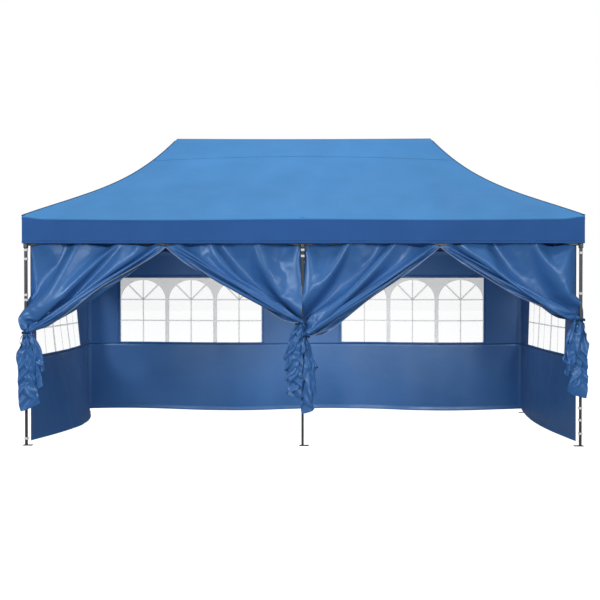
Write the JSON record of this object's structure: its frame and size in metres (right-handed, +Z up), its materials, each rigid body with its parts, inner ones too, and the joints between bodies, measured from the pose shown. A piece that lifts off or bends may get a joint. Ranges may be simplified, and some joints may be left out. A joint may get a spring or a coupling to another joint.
{
  "type": "pop up canopy",
  "caption": "Long pop up canopy with a peaked fabric roof, folding scissor frame, telescopic legs, window walls and zip doors tied back.",
  "frame": {"origin": "on the ground under the middle of the roof", "axes": "+X along the long side, -Y towards the front with the two door walls, +Z up"},
  "size_m": [6.064, 3.02, 3.473],
  "materials": {
    "leg_steel": "dark grey powder coat",
    "bar_paint": "dark grey powder coat",
    "bracket_plastic": "moulded black nylon",
    "roof_polyester": "coated woven polyester",
    "wall_polyester": "coated woven polyester"
  },
  "bodies": {
    "back_middle_leg": {"back_middle_upper_leg": "leg_steel", "roof_cover": "roof_polyester", "back_left_wall": "wall_polyester", "back_right_wall": "wall_polyester"},
    "front_middle_leg": {"front_middle_upper_leg": "leg_steel", "front_left_door_wall": "wall_polyester", "front_right_door_wall": "wall_polyester"},
    "back_left_leg": {"back_left_upper_leg": "leg_steel", "left_wall": "wall_polyester"},
    "back_right_leg": {"back_right_upper_leg": "leg_steel", "right_wall": "wall_polyester"},
    "front_left_leg": {"front_left_upper_leg": "leg_steel"},
    "front_right_leg": {"front_right_upper_leg": "leg_steel"},
    "middle_truss_bar_1": {"middle_truss_bar_1": "bar_paint"},
    "middle_truss_bar_2": {"middle_truss_bar_2": "bar_paint"},
    "middle_truss_bar_3": {"middle_truss_bar_3": "bar_paint"},
    "middle_truss_bar_4": {"middle_truss_bar_4": "bar_paint"},
    "back_middle_slider": {"back_middle_slider": "bracket_plastic"},
    "front_middle_slider": {"front_middle_slider": "bracket_plastic"},
    "back_left_truss_bar_1": {"back_left_truss_bar_1": "bar_paint"},
    "back_left_truss_bar_2": {"back_left_truss_bar_2": "bar_paint"},
    "back_left_truss_bar_3": {"back_left_truss_bar_3": "bar_paint"},
    "back_left_truss_bar_4": {"back_left_truss_bar_4": "bar_paint"},
    "back_left_slider": {"back_left_slider": "bracket_plastic"},
    "back_right_truss_bar_1": {"back_right_truss_bar_1": "bar_paint"},
    "back_right_truss_bar_2": {"back_right_truss_bar_2": "bar_paint"},
    "back_right_truss_bar_3": {"back_right_truss_bar_3": "bar_paint"},
    "back_right_truss_bar_4": {"back_right_truss_bar_4": "bar_paint"},
    "back_right_slider": {"back_right_slider": "bracket_plastic"},
    "front_left_truss_bar_1": {"front_left_truss_bar_1": "bar_paint"},
    "front_left_truss_bar_2": {"front_left_truss_bar_2": "bar_paint"},
    "front_left_truss_bar_3": {"front_left_truss_bar_3": "bar_paint"},
    "front_left_truss_bar_4": {"front_left_truss_bar_4": "bar_paint"},
    "front_left_slider": {"front_left_slider": "bracket_plastic"},
    "front_right_truss_bar_1": {"front_right_truss_bar_1": "bar_paint"},
    "front_right_truss_bar_2": {"front_right_truss_bar_2": "bar_paint"},
    "front_right_truss_bar_3": {"front_right_truss_bar_3": "bar_paint"},
    "front_right_truss_bar_4": {"front_right_truss_bar_4": "bar_paint"},
    "front_right_slider": {"front_right_slider": "bracket_plastic"},
    "left_truss_bar_1": {"left_truss_bar_1": "bar_paint"},
    "left_truss_bar_2": {"left_truss_bar_2": "bar_paint"},
    "left_truss_bar_3": {"left_truss_bar_3": "bar_paint"},
    "left_truss_bar_4": {"left_truss_bar_4": "bar_paint"},
    "right_truss_bar_1": {"right_truss_bar_1": "bar_paint"},
    "right_truss_bar_2": {"right_truss_bar_2": "bar_paint"},
    "right_truss_bar_3": {"right_truss_bar_3": "bar_paint"},
    "right_truss_bar_4": {"right_truss_bar_4": "bar_paint"},
    "centre_hub": {"centre_hub": "bracket_plastic"},
    "left_ridge_truss_bar_1": {"left_ridge_truss_bar_1": "bar_paint"},
    "left_ridge_truss_bar_2": {"left_ridge_truss_bar_2": "bar_paint"},
    "left_peak_pole": {"left_peak_pole": "leg_steel"},
    "right_ridge_truss_bar_1": {"right_ridge_truss_bar_1": "bar_paint"},
    "right_ridge_truss_bar_2": {"right_ridge_truss_bar_2": "bar_paint"},
    "right_peak_pole": {"right_peak_pole": "leg_steel"},
    "back_middle_lower_leg": {"back_middle_lower_leg": "leg_steel"},
    "back_left_lower_leg": {"back_left_lower_leg": "leg_steel"},
    "back_right_lower_leg": {"back_right_lower_leg": "leg_steel"},
    "front_middle_lower_leg": {"front_middle_lower_leg": "leg_steel"},
    "front_left_lower_leg": {"front_left_lower_leg": "leg_steel"},
    "front_right_lower_leg": {"front_right_lower_leg": "leg_steel"}
  },
  "joints": [
    {"name": "frame_fold", "type": "hinge", "parent": "back_middle_leg", "child": "middle_truss_bar_1", "pos_m": [0, 1.435, 2.4], "axis": [1, 0, 0], "range_deg": [0, 75.23], "deforming": ["roof_cover", "back_left_wall", "back_right_wall", "left_wall", "right_wall", "front_left_door_wall", "front_right_door_wall"]},
    {"name": "middle_truss_cross_1", "type": "hinge", "parent": "middle_truss_bar_1", "child": "middle_truss_bar_2", "pos_m": [0, 0.7175, 2.27], "axis": [1, 0, 0], "range_deg": [-150.86, 0]},
    {"name": "middle_truss_low_joint", "type": "hinge", "parent": "middle_truss_bar_1", "child": "middle_truss_bar_3", "pos_m": [0, 0, 2.14], "axis": [1, 0, 0], "range_deg": [-150.86, 0]},
    {"name": "middle_truss_cross_2", "type": "hinge", "parent": "middle_truss_bar_3", "child": "middle_truss_bar_4", "pos_m": [0, -0.7175, 2.27], "axis": [1, 0, 0], "range_deg": [0, 150.86]},
    {"name": "middle_truss_end_pivot", "type": "hinge", "parent": "middle_truss_bar_3", "child": "front_middle_leg", "pos_m": [0, -1.435, 2.4], "axis": [1, 0, 0], "range_deg": [0, 75.63]},
    {"name": "back_middle_slider_ear", "type": "hinge", "parent": "middle_truss_bar_2", "child": "back_middle_slider", "pos_m": [0, 1.435, 2.14], "axis": [1, 0, 0], "range_deg": [0, 75.63]},
    {"name": "front_middle_slider_ear", "type": "hinge", "parent": "middle_truss_bar_4", "child": "front_middle_slider", "pos_m": [0, -1.435, 2.14], "axis": [1, 0, 0], "range_deg": [-75.63, 0]},
    {"name": "back_left_truss_top_pivot", "type": "hinge", "parent": "back_middle_leg", "child": "back_left_truss_bar_1", "pos_m": [-0.04, 1.475, 2.4], "axis": [0, -1, 0], "range_deg": [0, 75.63]},
    {"name": "back_left_truss_cross_1", "type": "hinge", "parent": "back_left_truss_bar_1", "child": "back_left_truss_bar_2", "pos_m": [-0.7575, 1.475, 2.27], "axis": [0, -1, 0], "range_deg": [-150.86, 0]},
    {"name": "back_left_truss_low_joint", "type": "hinge", "parent": "back_left_truss_bar_1", "child": "back_left_truss_bar_3", "pos_m": [-1.475, 1.475, 2.14], "axis": [0, -1, 0], "range_deg": [-150.86, 0]},
    {"name": "back_left_truss_cross_2", "type": "hinge", "parent": "back_left_truss_bar_3", "child": "back_left_truss_bar_4", "pos_m": [-2.1925, 1.475, 2.27], "axis": [0, -1, 0], "range_deg": [0, 150.86]},
    {"name": "back_left_truss_end_pivot", "type": "hinge", "parent": "back_left_truss_bar_3", "child": "back_left_leg", "pos_m": [-2.91, 1.475, 2.4], "axis": [0, -1, 0], "range_deg": [0, 75.63]},
    {"name": "back_left_slider_ear", "type": "hinge", "parent": "back_left_truss_bar_4", "child": "back_left_slider", "pos_m": [-2.91, 1.475, 2.14], "axis": [0, -1, 0], "range_deg": [-75.63, 0]},
    {"name": "back_right_truss_top_pivot", "type": "hinge", "parent": "back_middle_leg", "child": "back_right_truss_bar_1", "pos_m": [0.04, 1.475, 2.4], "axis": [0, 1, 0], "range_deg": [0, 75.63]},
    {"name": "back_right_truss_cross_1", "type": "hinge", "parent": "back_right_truss_bar_1", "child": "back_right_truss_bar_2", "pos_m": [0.7575, 1.475, 2.27], "axis": [0, 1, 0], "range_deg": [-150.86, 0]},
    {"name": "back_right_truss_low_joint", "type": "hinge", "parent": "back_right_truss_bar_1", "child": "back_right_truss_bar_3", "pos_m": [1.475, 1.475, 2.14], "axis": [0, 1, 0], "range_deg": [-150.86, 0]},
    {"name": "back_right_truss_cross_2", "type": "hinge", "parent": "back_right_truss_bar_3", "child": "back_right_truss_bar_4", "pos_m": [2.1925, 1.475, 2.27], "axis": [0, 1, 0], "range_deg": [0, 150.86]},
    {"name": "back_right_truss_end_pivot", "type": "hinge", "parent": "back_right_truss_bar_3", "child": "back_right_leg", "pos_m": [2.91, 1.475, 2.4], "axis": [0, 1, 0], "range_deg": [0, 75.63]},
    {"name": "back_right_slider_ear", "type": "hinge", "parent": "back_right_truss_bar_4", "child": "back_right_slider", "pos_m": [2.91, 1.475, 2.14], "axis": [0, 1, 0], "range_deg": [-75.63, 0]},
    {"name": "front_left_truss_top_pivot", "type": "hinge", "parent": "front_middle_leg", "child": "front_left_truss_bar_1", "pos_m": [-0.04, -1.475, 2.4], "axis": [0, -1, 0], "range_deg": [0, 75.63]},
    {"name": "front_left_truss_cross_1", "type": "hinge", "parent": "front_left_truss_bar_1", "child": "front_left_truss_bar_2", "pos_m": [-0.7575, -1.475, 2.27], "axis": [0, -1, 0], "range_deg": [-150.86, 0]},
    {"name": "front_left_truss_low_joint", "type": "hinge", "parent": "front_left_truss_bar_1", "child": "front_left_truss_bar_3", "pos_m": [-1.475, -1.475, 2.14], "axis": [0, -1, 0], "range_deg": [-150.86, 0]},
    {"name": "front_left_truss_cross_2", "type": "hinge", "parent": "front_left_truss_bar_3", "child": "front_left_truss_bar_4", "pos_m": [-2.1925, -1.475, 2.27], "axis": [0, -1, 0], "range_deg": [0, 150.86]},
    {"name": "front_left_truss_end_pivot", "type": "hinge", "parent": "front_left_truss_bar_3", "child": "front_left_leg", "pos_m": [-2.91, -1.475, 2.4], "axis": [0, -1, 0], "range_deg": [0, 75.63]},
    {"name": "front_left_slider_ear", "type": "hinge", "parent": "front_left_truss_bar_4", "child": "front_left_slider", "pos_m": [-2.91, -1.475, 2.14], "axis": [0, -1, 0], "range_deg": [-75.63, 0]},
    {"name": "front_right_truss_top_pivot", "type": "hinge", "parent": "front_middle_leg", "child": "front_right_truss_bar_1", "pos_m": [0.04, -1.475, 2.4], "axis": [0, 1, 0], "range_deg": [0, 75.63]},
    {"name": "front_right_truss_cross_1", "type": "hinge", "parent": "front_right_truss_bar_1", "child": "front_right_truss_bar_2", "pos_m": [0.7575, -1.475, 2.27], "axis": [0, 1, 0], "range_deg": [-150.86, 0]},
    {"name": "front_right_truss_low_joint", "type": "hinge", "parent": "front_right_truss_bar_1", "child": "front_right_truss_bar_3", "pos_m": [1.475, -1.475, 2.14], "axis": [0, 1, 0], "range_deg": [-150.86, 0]},
    {"name": "front_right_truss_cross_2", "type": "hinge", "parent": "front_right_truss_bar_3", "child": "front_right_truss_bar_4", "pos_m": [2.1925, -1.475, 2.27], "axis": [0, 1, 0], "range_deg": [0, 150.86]},
    {"name": "front_right_truss_end_pivot", "type": "hinge", "parent": "front_right_truss_bar_3", "child": "front_right_leg", "pos_m": [2.91, -1.475, 2.4], "axis": [0, 1, 0], "range_deg": [0, 75.63]},
    {"name": "front_right_slider_ear", "type": "hinge", "parent": "front_right_truss_bar_4", "child": "front_right_slider", "pos_m": [2.91, -1.475, 2.14], "axis": [0, 1, 0], "range_deg": [-75.63, 0]},
    {"name": "left_truss_top_pivot", "type": "hinge", "parent": "back_left_leg", "child": "left_truss_bar_1", "pos_m": [-2.95, 1.435, 2.4], "axis": [1, 0, 0], "range_deg": [0, 75.63]},
    {"name": "left_truss_cross_1", "type": "hinge", "parent": "left_truss_bar_1", "child": "left_truss_bar_2", "pos_m": [-2.95, 0.7175, 2.27], "axis": [1, 0, 0], "range_deg": [-150.86, 0]},
    {"name": "left_truss_low_joint", "type": "hinge", "parent": "left_truss_bar_1", "child": "left_truss_bar_3", "pos_m": [-2.95, 0, 2.14], "axis": [1, 0, 0], "range_deg": [-150.86, 0]},
    {"name": "left_truss_cross_2", "type": "hinge", "parent": "left_truss_bar_3", "child": "left_truss_bar_4", "pos_m": [-2.95, -0.7175, 2.27], "axis": [1, 0, 0], "range_deg": [0, 150.86]},
    {"name": "right_truss_top_pivot", "type": "hinge", "parent": "back_right_leg", "child": "right_truss_bar_1", "pos_m": [2.95, 1.435, 2.4], "axis": [1, 0, 0], "range_deg": [0, 75.63]},
    {"name": "right_truss_cross_1", "type": "hinge", "parent": "right_truss_bar_1", "child": "right_truss_bar_2", "pos_m": [2.95, 0.7175, 2.27], "axis": [1, 0, 0], "range_deg": [-150.86, 0]},
    {"name": "right_truss_low_joint", "type": "hinge", "parent": "right_truss_bar_1", "child": "right_truss_bar_3", "pos_m": [2.95, 0, 2.14], "axis": [1, 0, 0], "range_deg": [-150.86, 0]},
    {"name": "right_truss_cross_2", "type": "hinge", "parent": "right_truss_bar_3", "child": "right_truss_bar_4", "pos_m": [2.95, -0.7175, 2.27], "axis": [1, 0, 0], "range_deg": [0, 150.86]},
    {"name": "centre_hub_pivot", "type": "hinge", "parent": "middle_truss_bar_1", "child": "centre_hub", "pos_m": [0, 0, 2.14], "axis": [1, 0, 0], "range_deg": [-75.63, 0]},
    {"name": "left_ridge_truss_hub_pivot", "type": "hinge", "parent": "centre_hub", "child": "left_ridge_truss_bar_1", "pos_m": [-0.045, 0, 2.14], "axis": [0, -1, 0], "range_deg": [-75.63, 0]},
    {"name": "left_ridge_truss_cross", "type": "hinge", "parent": "left_ridge_truss_bar_1", "child": "left_ridge_truss_bar_2", "pos_m": [-0.7625, 0, 2.27], "axis": [0, -1, 0], "range_deg": [0, 150.86]},
    {"name": "left_peak_pole_pivot", "type": "hinge", "parent": "left_ridge_truss_bar_2", "child": "left_peak_pole", "pos_m": [-1.48, 0, 2.14], "axis": [0, -1, 0], "range_deg": [-75.63, 0]},
    {"name": "right_ridge_truss_hub_pivot", "type": "hinge", "parent": "centre_hub", "child": "right_ridge_truss_bar_1", "pos_m": [0.045, 0, 2.14], "axis": [0, 1, 0], "range_deg": [-75.63, 0]},
    {"name": "right_ridge_truss_cross", "type": "hinge", "parent": "right_ridge_truss_bar_1", "child": "right_ridge_truss_bar_2", "pos_m": [0.7625, 0, 2.27], "axis": [0, 1, 0], "range_deg": [0, 150.86]},
    {"name": "right_peak_pole_pivot", "type": "hinge", "parent": "right_ridge_truss_bar_2", "child": "right_peak_pole", "pos_m": [1.48, 0, 2.14], "axis": [0, 1, 0], "range_deg": [-75.63, 0]},
    {"name": "back_middle_leg_height", "type": "slide", "parent": "back_middle_leg", "child": "back_middle_lower_leg", "axis": [0, 0, 1], "range_m": [0, 0.8]},
    {"name": "back_left_leg_height", "type": "slide", "parent": "back_left_leg", "child": "back_left_lower_leg", "axis": [0, 0, 1], "range_m": [0, 0.8]},
    {"name": "back_right_leg_height", "type": "slide", "parent": "back_right_leg", "child": "back_right_lower_leg", "axis": [0, 0, 1], "range_m": [0, 0.8]},
    {"name": "front_middle_leg_height", "type": "slide", "parent": "front_middle_leg", "child": "front_middle_lower_leg", "axis": [0, 0, 1], "range_m": [0, 0.8]},
    {"name": "front_left_leg_height", "type": "slide", "parent": "front_left_leg", "child": "front_left_lower_leg", "axis": [0, 0, 1], "range_m": [0, 0.8]},
    {"name": "front_right_leg_height", "type": "slide", "parent": "front_right_leg", "child": "front_right_lower_leg", "axis": [0, 0, 1], "range_m": [0, 0.8]}
  ],
  "couplings": [
    {"joint": "middle_truss_cross_1", "follows": "frame_fold", "ratio": -2},
    {"joint": "middle_truss_low_joint", "follows": "frame_fold", "ratio": -2},
    {"joint": "middle_truss_cross_2", "follows": "frame_fold", "ratio": 2},
    {"joint": "middle_truss_end_pivot", "follows": "frame_fold", "ratio": 1},
    {"joint": "back_middle_slider_ear", "follows": "frame_fold", "ratio": 1},
    {"joint": "front_middle_slider_ear", "follows": "frame_fold", "ratio": -1},
    {"joint": "back_left_truss_top_pivot", "follows": "frame_fold", "ratio": 1},
    {"joint": "back_left_truss_cross_1", "follows": "frame_fold", "ratio": -2},
    {"joint": "back_left_truss_low_joint", "follows": "frame_fold", "ratio": -2},
    {"joint": "back_left_truss_cross_2", "follows": "frame_fold", "ratio": 2},
    {"joint": "back_left_truss_end_pivot", "follows": "frame_fold", "ratio": 1},
    {"joint": "back_left_slider_ear", "follows": "frame_fold", "ratio": -1},
    {"joint": "back_right_truss_top_pivot", "follows": "frame_fold", "ratio": 1},
    {"joint": "back_right_truss_cross_1", "follows": "frame_fold", "ratio": -2},
    {"joint": "back_right_truss_low_joint", "follows": "frame_fold", "ratio": -2},
    {"joint": "back_right_truss_cross_2", "follows": "frame_fold", "ratio": 2},
    {"joint": "back_right_truss_end_pivot", "follows": "frame_fold", "ratio": 1},
    {"joint": "back_right_slider_ear", "follows": "frame_fold", "ratio": -1},
    {"joint": "front_left_truss_top_pivot", "follows": "frame_fold", "ratio": 1},
    {"joint": "front_left_truss_cross_1", "follows": "frame_fold", "ratio": -2},
    {"joint": "front_left_truss_low_joint", "follows": "frame_fold", "ratio": -2},
    {"joint": "front_left_truss_cross_2", "follows": "frame_fold", "ratio": 2},
    {"joint": "front_left_truss_end_pivot", "follows": "frame_fold", "ratio": 1},
    {"joint": "front_left_slider_ear", "follows": "frame_fold", "ratio": -1},
    {"joint": "front_right_truss_top_pivot", "follows": "frame_fold", "ratio": 1},
    {"joint": "front_right_truss_cross_1", "follows": "frame_fold", "ratio": -2},
    {"joint": "front_right_truss_low_joint", "follows": "frame_fold", "ratio": -2},
    {"joint": "front_right_truss_cross_2", "follows": "frame_fold", "ratio": 2},
    {"joint": "front_right_truss_end_pivot", "follows": "frame_fold", "ratio": 1},
    {"joint": "front_right_slider_ear", "follows": "frame_fold", "ratio": -1},
    {"joint": "left_truss_top_pivot", "follows": "frame_fold", "ratio": 1},
    {"joint": "left_truss_cross_1", "follows": "frame_fold", "ratio": -2},
    {"joint": "left_truss_low_joint", "follows": "frame_fold", "ratio": -2},
    {"joint": "left_truss_cross_2", "follows": "frame_fold", "ratio": 2},
    {"joint": "right_truss_top_pivot", "follows": "frame_fold", "ratio": 1},
    {"joint": "right_truss_cross_1", "follows": "frame_fold", "ratio": -2},
    {"joint": "right_truss_low_joint", "follows": "frame_fold", "ratio": -2},
    {"joint": "right_truss_cross_2", "follows": "frame_fold", "ratio": 2},
    {"joint": "centre_hub_pivot", "follows": "frame_fold", "ratio": -1},
    {"joint": "left_ridge_truss_hub_pivot", "follows": "frame_fold", "ratio": -1},
    {"joint": "left_ridge_truss_cross", "follows": "frame_fold", "ratio": 2},
    {"joint": "left_peak_pole_pivot", "follows": "frame_fold", "ratio": -1},
    {"joint": "right_ridge_truss_hub_pivot", "follows": "frame_fold", "ratio": -1},
    {"joint": "right_ridge_truss_cross", "follows": "frame_fold", "ratio": 2},
    {"joint": "right_peak_pole_pivot", "follows": "frame_fold", "ratio": -1}
  ]
}
